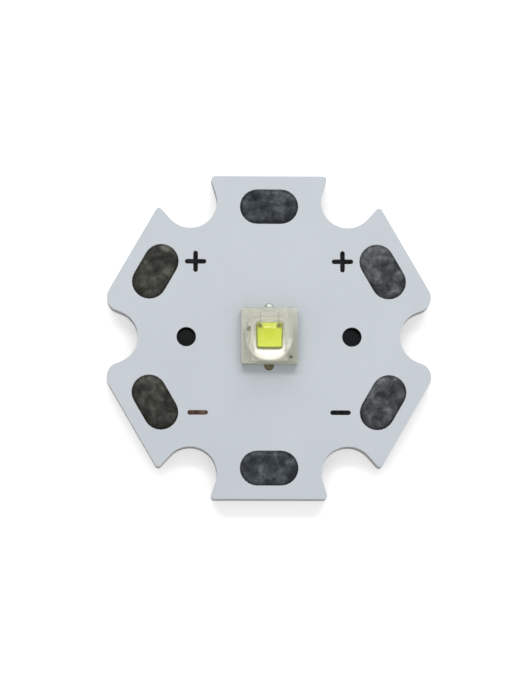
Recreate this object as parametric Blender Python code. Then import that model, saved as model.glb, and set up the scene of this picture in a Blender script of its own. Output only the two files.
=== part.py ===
"""Star-shaped aluminium board that carries one domed power LED.

The board lies flat with the centre of its underside at the origin. +Z is up,
+Y points to the top solder pad, and the plus pads are on the +Y half.
All named sizes are in millimetres; meshes and places are scaled to metres.
"""

import math

import bmesh
import bpy

MM = 0.001

# Board outline
ACROSS_FLATS = 20.0
NOTCH_DEPTH = 3.477
NOTCH_RADIUS = 1.65
NOTCH_FLARE = math.radians(12.0)
HORN_RADIUS = 0.2
SIDE_NOTCH_FLARE = math.radians(20.0)
SIDE_HORN_RADIUS = 0.87

# Board layers
BASE_THICKNESS = 1.5
BASE_CHAMFER = 0.08
DIELECTRIC_THICKNESS = 0.08
COPPER_THICKNESS = 0.035
MASK_COVER = 0.025

# Copper areas
COPPER_SETBACK = 0.4
LAND_OVERLAP = 0.1
WAIST_OVERLAP = 0.25
HOLE_COPPER_CLEARANCE = 0.3
HOLE_COPPER_RIM = 0.3

# Locating holes on either side of the LED
HOLE_DIAMETER = 1.2
HOLE_SPACING = 10.2

# Solder pads
PAD_LENGTH = 3.6
PAD_WIDTH = 2.15
PAD_EDGE_MARGIN = 0.825
PAD_TIN_THICKNESS = 0.035
PAD_TIN_CROWN = 0.015
TIN_CLEARANCE = 0.02

# Polarity marks beside the pads
MARK_STROKE = 0.29
PLUS_SPAN = 1.33
PLUS_PAD_GAP = 0.38
MINUS_LENGTH = 1.27
MINUS_PAD_GAP = 0.55
MARK_TIN_THICKNESS = 0.015

# LED package
PACKAGE_SIDE = 3.45
CONTACT_MARGIN = 0.075
CONTACT_WIDTH = 0.5
CONTACT_GAP = 0.5
CONTACT_THICKNESS = 0.05
CERAMIC_THICKNESS = 0.68
SOLDER_THICKNESS = 0.06
SOLDER_TAB_RADIUS = 0.3
SOLDER_TAB_REACH = 0.345
VIA_RADIUS = 0.08
VIA_CLEARANCE = 0.01

# Metal on the substrate's top
TRACE_THICKNESS = 0.03
TRACE_MARGIN = 0.15
TRACE_GAP = 0.12
TRACE_ARM_WIDTH = 0.28
TRACE_ARM_GAP = 0.24
DIE_PAD_MARGIN = 0.16
DIE_PAD_CORNER = 0.12

# Die, phosphor coat, wires and protection diode
DIE_SIDE = 0.98
DIE_HEIGHT = 0.17
COAT_THICKNESS = 0.05
COAT_CLEARANCE = 0.005
BOND_INSET = 0.075
BOND_OPENING = 0.13
WIRE_RADIUS = 0.015
WIRE_BALL_RADIUS = 0.035
WIRE_BALL_HEIGHT = 0.02
WIRE_FOOT = 0.06
WIRE_LOOP = 0.12
WIRE_CLEARANCE = 0.002
WIRE_LANDING = 0.18
DIODE_SIDE = 0.2
DIODE_HEIGHT = 0.1
DIODE_Y = 0.33
DIODE_WIRE_END_Y = -0.36

# Lens and polarity dot
FILM_THICKNESS = 0.1
LENS_MARGIN = 0.195
LENS_CLEARANCE = 0.02
POLARITY_DOT_RADIUS = 0.1
POLARITY_DOT_INSET = 0.4

# Curve resolution
NOTCH_STEPS = 14
HORN_STEPS = 6
SIDE_HORN_STEPS = 9
HOLE_STEPS = 24
PAD_END_STEPS = 12
MARK_END_STEPS = 6
TAB_STEPS = 10
CORNER_STEPS = 4
VIA_STEPS = 12
DOT_STEPS = 16
DOME_STEPS = 48
DOME_RINGS = 12
WIRE_STEPS = 10

# Sizes and heights that follow from the driving ones
APOTHEM = ACROSS_FLATS / 2
NOTCH_FLOOR = APOTHEM / math.cos(math.pi / 6) - NOTCH_DEPTH
NOTCH_CENTRE = NOTCH_FLOOR + NOTCH_RADIUS

DIELECTRIC_BOTTOM = BASE_THICKNESS
COPPER_BOTTOM = DIELECTRIC_BOTTOM + DIELECTRIC_THICKNESS
COPPER_TOP = COPPER_BOTTOM + COPPER_THICKNESS
LED_SEAT = COPPER_TOP + SOLDER_THICKNESS

CONTACT_OUTER = PACKAGE_SIDE / 2 - CONTACT_MARGIN
CONTACT_INNER = CONTACT_OUTER - CONTACT_WIDTH
THERMAL_HALF = CONTACT_INNER - CONTACT_GAP
COPPER_GAP = CONTACT_GAP - 2 * LAND_OVERLAP

HOLE_RADIUS = HOLE_DIAMETER / 2
HOLE_CENTRES = ((HOLE_SPACING / 2, 0.0), (-HOLE_SPACING / 2, 0.0))
WAIST_HALF = THERMAL_HALF + LAND_OVERLAP
WAIST_REACH = CONTACT_OUTER + WAIST_OVERLAP
BAND_HALF = HOLE_RADIUS + HOLE_COPPER_CLEARANCE + HOLE_COPPER_RIM
BAND_REACH = WAIST_REACH + BAND_HALF - WAIST_HALF

PAD_DISTANCE = APOTHEM - PAD_EDGE_MARGIN - PAD_WIDTH / 2
PAD_END_OFFSET = (PAD_LENGTH - PAD_WIDTH) / 2

COAT_HALF = DIE_SIDE / 2 + COAT_THICKNESS
DIE_PAD_HALF = COAT_HALF + DIE_PAD_MARGIN
ARM_INNER = DIE_PAD_HALF + TRACE_GAP
ARM_OUTER = ARM_INNER + TRACE_ARM_WIDTH
ARM_MIDDLE = (ARM_INNER + ARM_OUTER) / 2
STRIP_OUTER = PACKAGE_SIDE / 2 - TRACE_MARGIN

# Heights inside the package, above its seat on the solder
CERAMIC_BOTTOM = CONTACT_THICKNESS
CERAMIC_TOP = CERAMIC_BOTTOM + CERAMIC_THICKNESS
TRACE_TOP = CERAMIC_TOP + TRACE_THICKNESS
DIE_TOP = TRACE_TOP + DIE_HEIGHT
COAT_TOP = DIE_TOP + COAT_THICKNESS
DIODE_TOP = TRACE_TOP + DIODE_HEIGHT
BOND_OFFSET = DIE_SIDE / 2 - BOND_INSET
LENS_RADIUS = PACKAGE_SIDE / 2 - LENS_MARGIN


def arc(centre, radius, start, end, steps):
    """Points on an arc from one angle to another, both ends included."""
    points = []
    for k in range(steps + 1):
        angle = start + (end - start) * k / steps
        points.append((centre[0] + radius * math.cos(angle), centre[1] + radius * math.sin(angle)))
    return points


def circle(centre, radius, steps):
    """A closed ring of points on a circle."""
    return arc(centre, radius, 0.0, 2 * math.pi, steps)[:-1]


def moved(ring, angle=0.0, centre=(0.0, 0.0)):
    """A ring turned about the origin, then shifted."""
    cosine, sine = math.cos(angle), math.sin(angle)
    return [(centre[0] + cosine * x - sine * y, centre[1] + sine * x + cosine * y) for x, y in ring]


def rectangle(half_x, half_y):
    """A rectangular ring about the origin."""
    return [(-half_x, -half_y), (half_x, -half_y), (half_x, half_y), (-half_x, half_y)]


def stadium(length, width, steps):
    """A bar with half-round ends, lying along X."""
    offset = (length - width) / 2
    right = arc((offset, 0.0), width / 2, -math.pi / 2, math.pi / 2, steps)
    left = arc((-offset, 0.0), width / 2, math.pi / 2, 3 * math.pi / 2, steps)
    return right + left


def plus(span, stroke, steps):
    """A plus with round ends, as one ring."""
    reach = (span - stroke) / 2
    ring = []
    for k in range(4):
        arm = arc((reach, 0.0), stroke / 2, -math.pi / 2, math.pi / 2, steps)
        ring += moved(arm + [(stroke / 2, stroke / 2)], k * math.pi / 2)
    return ring


def notch_corner(inset, flare, horn_radius, horn_steps):
    """One corner of the star about +X: horn, notch, horn, drawn from -Y to +Y."""
    arc_end = math.pi / 2 + flare
    arc_radius = NOTCH_RADIUS + inset
    wall_start = (NOTCH_CENTRE + arc_radius * math.cos(arc_end), arc_radius * math.sin(arc_end))
    wall = (math.cos(flare), math.sin(flare))
    flat = (math.cos(math.pi / 6), math.sin(math.pi / 6))
    wall_length = (APOTHEM - inset - flat[0] * wall_start[0] - flat[1] * wall_start[1]) / (
        flat[0] * wall[0] + flat[1] * wall[1])

    # The wall and the flat meet at this angle, which the horn's round end fits into
    half_tip = (math.pi / 3 + flare) / 2
    radius = min(horn_radius, 0.95 * wall_length * math.tan(half_tip))
    to_tangent = wall_length - radius / math.tan(half_tip)
    horn_centre = (wall_start[0] + to_tangent * wall[0] - radius * wall[1],
                   wall_start[1] + to_tangent * wall[1] + radius * wall[0])
    horn = arc(horn_centre, radius, flare - math.pi / 2, math.pi / 6, horn_steps)
    notch = arc((NOTCH_CENTRE, 0.0), arc_radius, 2 * math.pi - arc_end, arc_end, NOTCH_STEPS)
    mirrored_horn = [(x, -y) for x, y in reversed(horn)]
    return mirrored_horn + notch + horn


def star(inset=0.0):
    """The board's outline, or a line that stays a given distance inside it."""
    smallest = 0.05
    ring = []
    for k in range(6):
        if k % 3 == 0:
            radius = max(SIDE_HORN_RADIUS - inset, smallest)
            corner = notch_corner(inset, SIDE_NOTCH_FLARE, radius, SIDE_HORN_STEPS)
        else:
            radius = max(HORN_RADIUS - inset, smallest)
            corner = notch_corner(inset, NOTCH_FLARE, radius, HORN_STEPS)
        ring += moved(corner, k * math.pi / 3)
    return ring


def cut_at_level(ring, level, keep_above):
    """The part of a ring above or below y = level, with its crossing points."""
    kept = []
    for (x0, y0), (x1, y1) in zip(ring, ring[1:] + ring[:1]):
        inside = (y0 > level) == keep_above
        if inside:
            kept.append((x0, y0))
        if inside != ((y1 > level) == keep_above):
            share = (level - y0) / (y1 - y0)
            kept.append((x0 + share * (x1 - x0), level))
    return kept


def flipped(ring):
    """A ring mirrored from the upper half of the board to the lower."""
    return [(x, -y) for x, y in reversed(ring)]


def anode_copper_ring():
    """Upper copper: the inset star above the thermal band, following its waist."""
    level = BAND_HALF + COPPER_GAP
    slant = COPPER_GAP * math.tan(math.pi / 8)
    waist = [(-BAND_REACH + slant, level), (-WAIST_REACH + slant, WAIST_HALF + COPPER_GAP),
             (WAIST_REACH - slant, WAIST_HALF + COPPER_GAP), (BAND_REACH - slant, level)]
    return cut_at_level(star(COPPER_SETBACK), level, True) + waist


def thermal_copper_ring():
    """Middle copper: a band from notch to notch, with a waist under the LED."""
    band = cut_at_level(star(COPPER_SETBACK), -BAND_HALF, True)
    band = cut_at_level(band, BAND_HALF, False)
    right = [point for point in band if point[0] > 0]
    left = [point for point in band if point[0] < 0]
    waist = [(BAND_REACH, BAND_HALF), (WAIST_REACH, WAIST_HALF),
             (-WAIST_REACH, WAIST_HALF), (-BAND_REACH, BAND_HALF)]
    return right + waist + left + moved(waist, math.pi)


def land_ring(inset=0.0):
    """The anode's solder land with its round tab; the cathode's is the same, flipped."""
    outer = CONTACT_OUTER - inset
    tab = SOLDER_TAB_RADIUS - inset
    tab_centre = (0.0, PACKAGE_SIDE / 2 + SOLDER_TAB_REACH - SOLDER_TAB_RADIUS)
    lower = [(-outer, CONTACT_INNER + inset), (outer, CONTACT_INNER + inset), (outer, outer)]
    return lower + [(tab, outer)] + arc(tab_centre, tab, 0.0, math.pi, TAB_STEPS) + [
        (-tab, outer), (-outer, outer)]


def anode_trace_ring():
    """Top metal of the anode: a strip above the die with an arm down each side."""
    gap = TRACE_ARM_GAP / 2
    return [(-ARM_OUTER, gap), (-ARM_INNER, gap), (-ARM_INNER, ARM_INNER), (ARM_INNER, ARM_INNER),
            (ARM_INNER, gap), (ARM_OUTER, gap), (ARM_OUTER, STRIP_OUTER), (-ARM_OUTER, STRIP_OUTER)]


def cathode_trace_ring():
    """Top metal of the cathode: strip and arms below the die, and the pad under it."""
    gap = TRACE_ARM_GAP / 2
    middle = DIE_PAD_HALF - DIE_PAD_CORNER
    right_corner = arc((middle, middle), DIE_PAD_CORNER, 0.0, math.pi / 2, CORNER_STEPS)
    left_corner = arc((-middle, middle), DIE_PAD_CORNER, math.pi / 2, math.pi, CORNER_STEPS)
    right = [(ARM_OUTER, -STRIP_OUTER), (ARM_OUTER, -gap), (ARM_INNER, -gap), (ARM_INNER, -ARM_INNER),
             (DIE_PAD_HALF, -ARM_INNER)]
    left = [(-x, y) for x, y in reversed(right)]
    return right + right_corner + left_corner + left


def pad_places():
    """Name of each solder pad and its direction from the board's centre, in degrees."""
    return (("top_pad", 90), ("bottom_pad", 270), ("plus_pad_left", 150), ("plus_pad_right", 30),
            ("minus_pad_left", 210), ("minus_pad_right", 330))


def pad_frame(degrees):
    """Centre of a pad and the angle of its long side, for a pad in a given direction."""
    angle = math.radians(degrees)
    centre = (PAD_DISTANCE * math.cos(angle), PAD_DISTANCE * math.sin(angle))
    return centre, angle - math.pi / 2


def mark_centre(gap, half_size):
    """Centre of the upper right mark, level with the outer round end of its pad."""
    centre, angle = pad_frame(30)
    end_x = centre[0] - PAD_END_OFFSET * math.cos(angle)
    end_y = centre[1] - PAD_END_OFFSET * math.sin(angle)
    return (end_x - PAD_WIDTH / 2 - gap - half_size, end_y)


def mark_places():
    """Name, centre and outline maker of each polarity mark."""
    plus_x, plus_y = mark_centre(PLUS_PAD_GAP, PLUS_SPAN / 2)
    minus_x, minus_y = mark_centre(MINUS_PAD_GAP, MINUS_LENGTH / 2)
    return (("plus_mark_left", (-plus_x, plus_y), plus_outline),
            ("plus_mark_right", (plus_x, plus_y), plus_outline),
            ("minus_mark_left", (-minus_x, -minus_y), minus_outline),
            ("minus_mark_right", (minus_x, -minus_y), minus_outline))


def plus_outline(inset=0.0):
    """The plus, drawn smaller by an inset all round."""
    return plus(PLUS_SPAN - 2 * inset, MARK_STROKE - 2 * inset, MARK_END_STEPS)


def minus_outline(inset=0.0):
    """The minus, drawn smaller by an inset all round."""
    return stadium(MINUS_LENGTH - 2 * inset, MARK_STROKE - 2 * inset, MARK_END_STEPS)


def pad_outline(inset=0.0):
    """A solder pad's outline, drawn smaller by an inset all round."""
    return stadium(PAD_LENGTH - 2 * inset, PAD_WIDTH - 2 * inset, PAD_END_STEPS)


class Shell:
    """Gathers the flat faces and walls of one closed solid, in millimetres."""

    def __init__(self):
        self.bm = bmesh.new()

    def cap(self, rings, z):
        """A flat face at one height: the first ring, less the rings inside it."""
        edges = []
        for ring in rings:
            verts = [self.bm.verts.new((x, y, z)) for x, y in ring]
            for k in range(len(verts)):
                edges.append(self.bm.edges.new((verts[k - 1], verts[k])))
        bmesh.ops.triangle_fill(self.bm, edges=edges, use_beauty=True)

    def wall(self, lower, z0, z1, upper=None):
        """A band of faces from a ring at one height to the like ring at another."""
        low = [self.bm.verts.new((x, y, z0)) for x, y in lower]
        high = [self.bm.verts.new((x, y, z1)) for x, y in upper or lower]
        for k in range(len(low)):
            self.bm.faces.new((low[k - 1], low[k], high[k], high[k - 1]))

    def tip(self, ring, z, apex_z):
        """A fan of triangles from a ring to a point over the origin."""
        verts = [self.bm.verts.new((x, y, z)) for x, y in ring]
        apex = self.bm.verts.new((0.0, 0.0, apex_z))
        for k in range(len(verts)):
            self.bm.faces.new((verts[k - 1], verts[k], apex))

    def mesh(self, name):
        """The welded solid as a mesh in metres, faces outward."""
        weld = 0.00002
        bmesh.ops.remove_doubles(self.bm, verts=self.bm.verts, dist=weld)
        bmesh.ops.recalc_face_normals(self.bm, faces=self.bm.faces)
        bmesh.ops.scale(self.bm, vec=(MM, MM, MM), verts=self.bm.verts)
        mesh = bpy.data.meshes.new(name)
        self.bm.to_mesh(mesh)
        self.bm.free()
        mesh.shade_smooth()
        mesh.set_sharp_from_angle(angle=math.radians(30.0))
        return mesh


def prism(name, sections):
    """A solid through like rings at rising heights: [(z, rings), ...]."""
    shell = Shell()
    shell.cap(sections[0][1], sections[0][0])
    for (z0, lower), (z1, upper) in zip(sections, sections[1:]):
        for low_ring, high_ring in zip(lower, upper):
            shell.wall(low_ring, z0, z1, high_ring)
    shell.cap(sections[-1][1], sections[-1][0])
    return shell.mesh(name)


def linear(red, green, blue):
    """A colour given as 0 to 255 screen values, as the shader's linear values."""
    channels = []
    for value in (red, green, blue):
        share = value / 255
        channels.append(share / 12.92 if share <= 0.04045 else ((share + 0.055) / 1.055) ** 2.4)
    return (*channels, 1.0)


def material(name, colour, roughness, metallic=0.0, transmission=0.0, ior=1.5):
    """A plain Principled material."""
    surface = bpy.data.materials.new(name)
    surface.use_nodes = True
    shader = surface.node_tree.nodes["Principled BSDF"]
    shader.inputs["Base Color"].default_value = linear(*colour)
    shader.inputs["Roughness"].default_value = roughness
    shader.inputs["Metallic"].default_value = metallic
    shader.inputs["Transmission Weight"].default_value = transmission
    shader.inputs["IOR"].default_value = ior
    surface.diffuse_color = linear(*colour)
    return surface


def place(name, data, surface, parent, location=(0.0, 0.0, 0.0), angle=0.0):
    """Adds one named piece to the scene, at a place in millimetres."""
    if not data.materials:
        data.materials.append(surface)
    piece = bpy.data.objects.new(name, data)
    piece.location = [value * MM for value in location]
    piece.rotation_euler.z = angle
    piece.parent = parent
    bpy.context.scene.collection.objects.link(piece)
    return piece


def empty(name, height):
    """An empty that carries the pieces of one assembly."""
    holder = bpy.data.objects.new(name, None)
    holder.empty_display_size = PACKAGE_SIDE * MM
    holder.location.z = height * MM
    bpy.context.scene.collection.objects.link(holder)
    return holder


def clear_scene():
    """Starts from an empty scene."""
    for old in list(bpy.data.objects):
        bpy.data.objects.remove(old, do_unlink=True)


def hole_rings(radius=HOLE_RADIUS):
    """The two locating holes, or rings about them."""
    return [circle(centre, radius, HOLE_STEPS) for centre in HOLE_CENTRES]


def make_base(board):
    """Aluminium star plate with its lower edge broken."""
    surface = material("aluminium", (168, 170, 172), 0.38, metallic=1.0)
    sections = [(0.0, [star(BASE_CHAMFER)] + hole_rings()),
                (BASE_CHAMFER, [star()] + hole_rings()),
                (BASE_THICKNESS, [star()] + hole_rings())]
    place("aluminium_base", prism("aluminium_base", sections), surface, board)


def make_dielectric(board):
    """Insulating layer between the plate and the copper."""
    surface = material("dielectric", (214, 210, 190), 0.6)
    rings = [star()] + hole_rings()
    layer = prism("dielectric_layer", [(0.0, rings), (DIELECTRIC_THICKNESS, rings)])
    place("dielectric_layer", layer, surface, board, (0.0, 0.0, DIELECTRIC_BOTTOM))


def copper_areas():
    """Outline and inner clearances of each copper area, by name."""
    return {"anode_copper": [anode_copper_ring()],
            "thermal_copper": [thermal_copper_ring()] + hole_rings(HOLE_RADIUS + HOLE_COPPER_CLEARANCE),
            "cathode_copper": [flipped(anode_copper_ring())]}


def mask_openings():
    """Openings in the mask over each copper area, by the area's name."""
    openings = {"anode_copper": [land_ring()],
                "thermal_copper": [rectangle(CONTACT_OUTER, THERMAL_HALF)],
                "cathode_copper": [flipped(land_ring())]}
    for _, degrees in pad_places():
        centre, angle = pad_frame(degrees)
        area = "anode_copper" if centre[1] > 0 else "cathode_copper"
        openings[area].append(moved(pad_outline(), angle, centre))
    for _, centre, outline in mark_places():
        area = "anode_copper" if centre[1] > 0 else "cathode_copper"
        openings[area].append(moved(outline(), 0.0, centre))
    return openings


def make_copper(board):
    """The three copper areas on the dielectric."""
    surface = material("copper", (184, 115, 78), 0.35, metallic=1.0)
    for name, rings in copper_areas().items():
        area = prism(name, [(0.0, rings), (COPPER_THICKNESS, rings)])
        place(name, area, surface, board, (0.0, 0.0, COPPER_BOTTOM))


def make_mask(board):
    """White lacquer over the copper, down to the dielectric between the areas."""
    surface = material("solder_mask", (200, 206, 211), 0.4)
    areas = copper_areas()
    openings = mask_openings()
    top = COPPER_THICKNESS + MASK_COVER
    shell = Shell()

    # Upper face, and the walls of the openings down to the copper
    shell.cap([star()] + hole_rings() + [ring for rings in openings.values() for ring in rings], top)
    for name, rings in openings.items():
        for ring in rings:
            shell.wall(ring, COPPER_THICKNESS, top)

        # Underside on the copper, and the walls that run down beside it
        shell.cap(areas[name] + rings, COPPER_THICKNESS)
        for ring in areas[name]:
            shell.wall(ring, 0.0, COPPER_THICKNESS)

    # Underside on the dielectric: between the areas, and round each hole
    shell.cap([star()] + [rings[0] for rings in areas.values()], 0.0)
    for clearance, hole in zip(areas["thermal_copper"][1:], hole_rings()):
        shell.cap([clearance, hole], 0.0)

    # Outer edge and hole walls
    for ring in [star()] + hole_rings():
        shell.wall(ring, 0.0, top)
    place("solder_mask", shell.mesh("solder_mask"), surface, board, (0.0, 0.0, COPPER_BOTTOM))


def make_pads(board):
    """Six tinned solder pads that fill their openings in the mask."""
    surface = material("pad_tin", (74, 79, 83), 0.3, metallic=1.0)
    outline = pad_outline(TIN_CLEARANCE)
    crown = pad_outline(TIN_CLEARANCE + PAD_TIN_CROWN)
    pad = prism("solder_pad", [(0.0, [outline]), (PAD_TIN_THICKNESS - PAD_TIN_CROWN, [outline]),
                               (PAD_TIN_THICKNESS, [crown])])
    for name, degrees in pad_places():
        centre, angle = pad_frame(degrees)
        place(name, pad, surface, board, (*centre, COPPER_TOP), angle)


def make_marks(board):
    """Thin tin in the openings of the plus and minus marks."""
    surface = material("mark_tin", (58, 62, 66), 0.35, metallic=1.0)
    for name, centre, outline in mark_places():
        rings = [outline(TIN_CLEARANCE)]
        mark = prism(name, [(0.0, rings), (MARK_TIN_THICKNESS, rings)])
        place(name, mark, surface, board, (*centre, COPPER_TOP))


def make_solder_joints(board):
    """Solder between the copper lands and the package's underside."""
    surface = material("solder", (150, 152, 154), 0.3, metallic=1.0)
    land = land_ring(TIN_CLEARANCE)
    middle = rectangle(CONTACT_OUTER - TIN_CLEARANCE, THERMAL_HALF - TIN_CLEARANCE)
    for name, ring in (("anode_solder", land), ("thermal_solder", middle),
                       ("cathode_solder", flipped(land))):
        joint = prism(name, [(0.0, [ring]), (SOLDER_THICKNESS, [ring])])
        place(name, joint, surface, board, (0.0, 0.0, COPPER_TOP))


def via_rings(radius):
    """The two vias of the upper terminal."""
    y = (CONTACT_INNER + CONTACT_OUTER) / 2
    return [circle((x, y), radius, VIA_STEPS) for x in (-ARM_MIDDLE, ARM_MIDDLE)]


def contact_ring():
    """Underside contact of the upper terminal."""
    return moved(rectangle(CONTACT_OUTER, CONTACT_WIDTH / 2), 0.0,
                 (0.0, (CONTACT_INNER + CONTACT_OUTER) / 2))


def terminal_mesh(name, contact, vias, trace):
    """One plated terminal: contact below, vias through the ceramic, metal on top."""
    shell = Shell()
    shell.cap([contact], 0.0)
    shell.wall(contact, 0.0, CERAMIC_BOTTOM)
    shell.cap([contact] + vias, CERAMIC_BOTTOM)
    for via in vias:
        shell.wall(via, CERAMIC_BOTTOM, CERAMIC_TOP)
    shell.cap([trace] + vias, CERAMIC_TOP)
    shell.wall(trace, CERAMIC_TOP, TRACE_TOP)
    shell.cap([trace], TRACE_TOP)
    return shell.mesh(name)


def make_terminals(led):
    """The package's two electrical terminals and its heat pad."""
    surface = material("terminal_metal", (198, 186, 150), 0.35, metallic=1.0)
    vias = via_rings(VIA_RADIUS)
    anode = terminal_mesh("anode_terminal", contact_ring(), vias, anode_trace_ring())
    place("anode_terminal", anode, surface, led)
    cathode = terminal_mesh("cathode_terminal", flipped(contact_ring()),
                            [flipped(via) for via in vias], cathode_trace_ring())
    place("cathode_terminal", cathode, surface, led)
    heat_pad = [rectangle(CONTACT_OUTER, THERMAL_HALF)]
    thermal = prism("thermal_terminal", [(0.0, heat_pad), (CONTACT_THICKNESS, heat_pad)])
    place("thermal_terminal", thermal, surface, led)


def make_substrate(led):
    """Ceramic tile, with the holes that the vias run through."""
    surface = material("ceramic", (196, 198, 184), 0.55)
    holes = via_rings(VIA_RADIUS + VIA_CLEARANCE)
    rings = [rectangle(PACKAGE_SIDE / 2, PACKAGE_SIDE / 2)] + holes + [flipped(hole) for hole in holes]
    tile = prism("ceramic_substrate", [(0.0, rings), (CERAMIC_THICKNESS, rings)])
    place("ceramic_substrate", tile, surface, led, (0.0, 0.0, CERAMIC_BOTTOM))


def make_die(led):
    """The LED chip and the phosphor coat over it."""
    chip = [rectangle(DIE_SIDE / 2, DIE_SIDE / 2)]
    die = prism("led_die", [(0.0, chip), (DIE_HEIGHT, chip)])
    place("led_die", die, material("die", (92, 98, 110), 0.25), led, (0.0, 0.0, TRACE_TOP))

    outside = rectangle(COAT_HALF, COAT_HALF)
    inside = rectangle(DIE_SIDE / 2 + COAT_CLEARANCE, DIE_SIDE / 2 + COAT_CLEARANCE)
    openings = [moved(rectangle(BOND_OPENING / 2, BOND_OPENING / 2), 0.0, (x, BOND_OFFSET))
                for x in (-BOND_OFFSET, BOND_OFFSET)]
    coat_height = DIE_HEIGHT + COAT_THICKNESS
    shell = Shell()
    shell.cap([outside, inside], 0.0)
    shell.wall(inside, 0.0, DIE_HEIGHT)
    shell.cap([inside] + openings, DIE_HEIGHT)
    for opening in openings:
        shell.wall(opening, DIE_HEIGHT, coat_height)
    shell.cap([outside] + openings, coat_height)
    shell.wall(outside, 0.0, coat_height)
    place("phosphor_layer", shell.mesh("phosphor_layer"), material("phosphor", (211, 224, 72), 0.7),
          led, (0.0, 0.0, TRACE_TOP))


def make_diode(led):
    """Protection chip on the anode's left arm."""
    body = [rectangle(DIODE_SIDE / 2, DIODE_SIDE / 2)]
    chip = prism("esd_diode", [(0.0, body), (DIODE_HEIGHT, body)])
    place("esd_diode", chip, material("diode", (70, 72, 66), 0.4), led,
          (-ARM_MIDDLE, DIODE_Y, TRACE_TOP))


def wire_points(x, start_y, start_z, end_y):
    """Middle line of a bond wire: up off its ball, over in a loop, down to its foot."""
    base = start_z + WIRE_CLEARANCE
    neck = base + WIRE_BALL_HEIGHT
    foot_z = TRACE_TOP + WIRE_RADIUS + WIRE_CLEARANCE
    points = [(x, start_y, base), (x, start_y, neck)]
    for k in range(WIRE_STEPS + 1):
        share = k / WIRE_STEPS
        lift = WIRE_RADIUS + 4 * WIRE_LOOP * share * (1 - share)
        level = neck * (1 - share) + (foot_z - WIRE_RADIUS) * share
        points.append((x, start_y + (end_y - start_y) * share, level + lift))
    points.append((x, end_y + math.copysign(WIRE_FOOT, end_y - start_y), foot_z))
    return points


def wire_routes():
    """Middle line of every bond wire, by name."""
    landing = ARM_INNER + WIRE_LANDING
    return {"bond_wire_left": wire_points(-BOND_OFFSET, BOND_OFFSET, DIE_TOP, landing),
            "bond_wire_right": wire_points(BOND_OFFSET, BOND_OFFSET, DIE_TOP, landing),
            "esd_wire": wire_points(-ARM_MIDDLE, DIODE_Y, DIODE_TOP, DIODE_WIRE_END_Y)}


def make_wires(led):
    """Gold bond wires, each with a flattened ball where it starts."""
    surface = material("gold", (214, 176, 92), 0.25, metallic=1.0)
    for name, points in wire_routes().items():
        curve = bpy.data.curves.new(name, "CURVE")
        curve.dimensions = "3D"
        curve.bevel_depth = WIRE_RADIUS * MM
        curve.bevel_resolution = 2
        curve.use_fill_caps = True
        spline = curve.splines.new("POLY")
        spline.points.add(len(points) - 1)
        for k, point in enumerate(points):
            spline.points[k].co = (*[value * MM for value in point], 1.0)
            spline.points[k].radius = WIRE_BALL_RADIUS / WIRE_RADIUS if k < 2 else 1.0
        place(name, curve, surface, led)


def cutter(name, low, high):
    """A hidden box that cuts a pocket, between two corners in millimetres."""
    size = [high[k] - low[k] for k in range(3)]
    box = prism(name, [(0.0, [rectangle(size[0] / 2, size[1] / 2)]),
                       (size[2], [rectangle(size[0] / 2, size[1] / 2)])])
    piece = bpy.data.objects.new(name, box)
    piece.location = [(low[0] + high[0]) / 2 * MM, (low[1] + high[1]) / 2 * MM, low[2] * MM]
    piece.hide_render = True
    piece.display_type = "WIRE"
    bpy.context.scene.collection.objects.link(piece)
    return piece


def lens_pockets(led):
    """Cutters for all that the lens encloses, each open to its underside."""
    room = LENS_CLEARANCE
    floor = CERAMIC_TOP - FILM_THICKNESS
    dot = PACKAGE_SIDE / 2 - POLARITY_DOT_INSET
    dot_room = POLARITY_DOT_RADIUS + room
    trace_ceiling = TRACE_TOP + room
    diode_room = DIODE_SIDE / 2 + room
    pockets = {
        "trace_pocket": ((-ARM_OUTER - room, -STRIP_OUTER - room), (ARM_OUTER + room, STRIP_OUTER + room),
                         trace_ceiling),
        "die_pocket": ((-COAT_HALF - room, -COAT_HALF - room), (COAT_HALF + room, COAT_HALF + room),
                       COAT_TOP + room),
        "diode_pocket": ((-ARM_MIDDLE - diode_room, DIODE_Y - diode_room),
                         (-ARM_MIDDLE + diode_room, DIODE_Y + diode_room), DIODE_TOP + room),
        "dot_pocket": ((dot - dot_room, -dot - dot_room), (dot + dot_room, -dot + dot_room),
                       trace_ceiling)}
    for name, points in wire_routes().items():
        side = WIRE_BALL_RADIUS + room
        y_values = [point[1] for point in points]
        top = max(point[2] for point in points) + WIRE_RADIUS + room
        pockets[name + "_pocket"] = ((points[0][0] - side, min(y_values) - side),
                                     (points[0][0] + side, max(y_values) + side), top)
    cutters = []
    for name, (low, high, top) in pockets.items():
        piece = cutter(name, (*low, floor), (*high, top))
        piece.parent = led
        cutters.append(piece)
    return cutters


def make_lens(led):
    """Silicone film over the substrate, and the dome on it."""
    side = rectangle(PACKAGE_SIDE / 2, PACKAGE_SIDE / 2)
    rings = []
    for k in range(DOME_RINGS):
        angle = math.pi / 2 * k / DOME_RINGS
        rings.append((circle((0.0, 0.0), LENS_RADIUS * math.cos(angle), DOME_STEPS),
                      FILM_THICKNESS + LENS_RADIUS * math.sin(angle)))
    shell = Shell()
    shell.cap([side], 0.0)
    shell.wall(side, 0.0, FILM_THICKNESS)
    shell.cap([side, rings[0][0]], FILM_THICKNESS)
    for (lower, z0), (upper, z1) in zip(rings, rings[1:]):
        shell.wall(lower, z0, z1, upper)
    shell.tip(rings[-1][0], rings[-1][1], FILM_THICKNESS + LENS_RADIUS)
    surface = material("silicone", (238, 238, 228), 0.05, transmission=1.0, ior=1.41)
    lens = place("silicone_lens", shell.mesh("silicone_lens"), surface, led, (0.0, 0.0, CERAMIC_TOP))
    for piece in lens_pockets(led):
        pocket = lens.modifiers.new(piece.name, "BOOLEAN")
        pocket.operation = "DIFFERENCE"
        pocket.solver = "EXACT"
        pocket.object = piece


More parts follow.
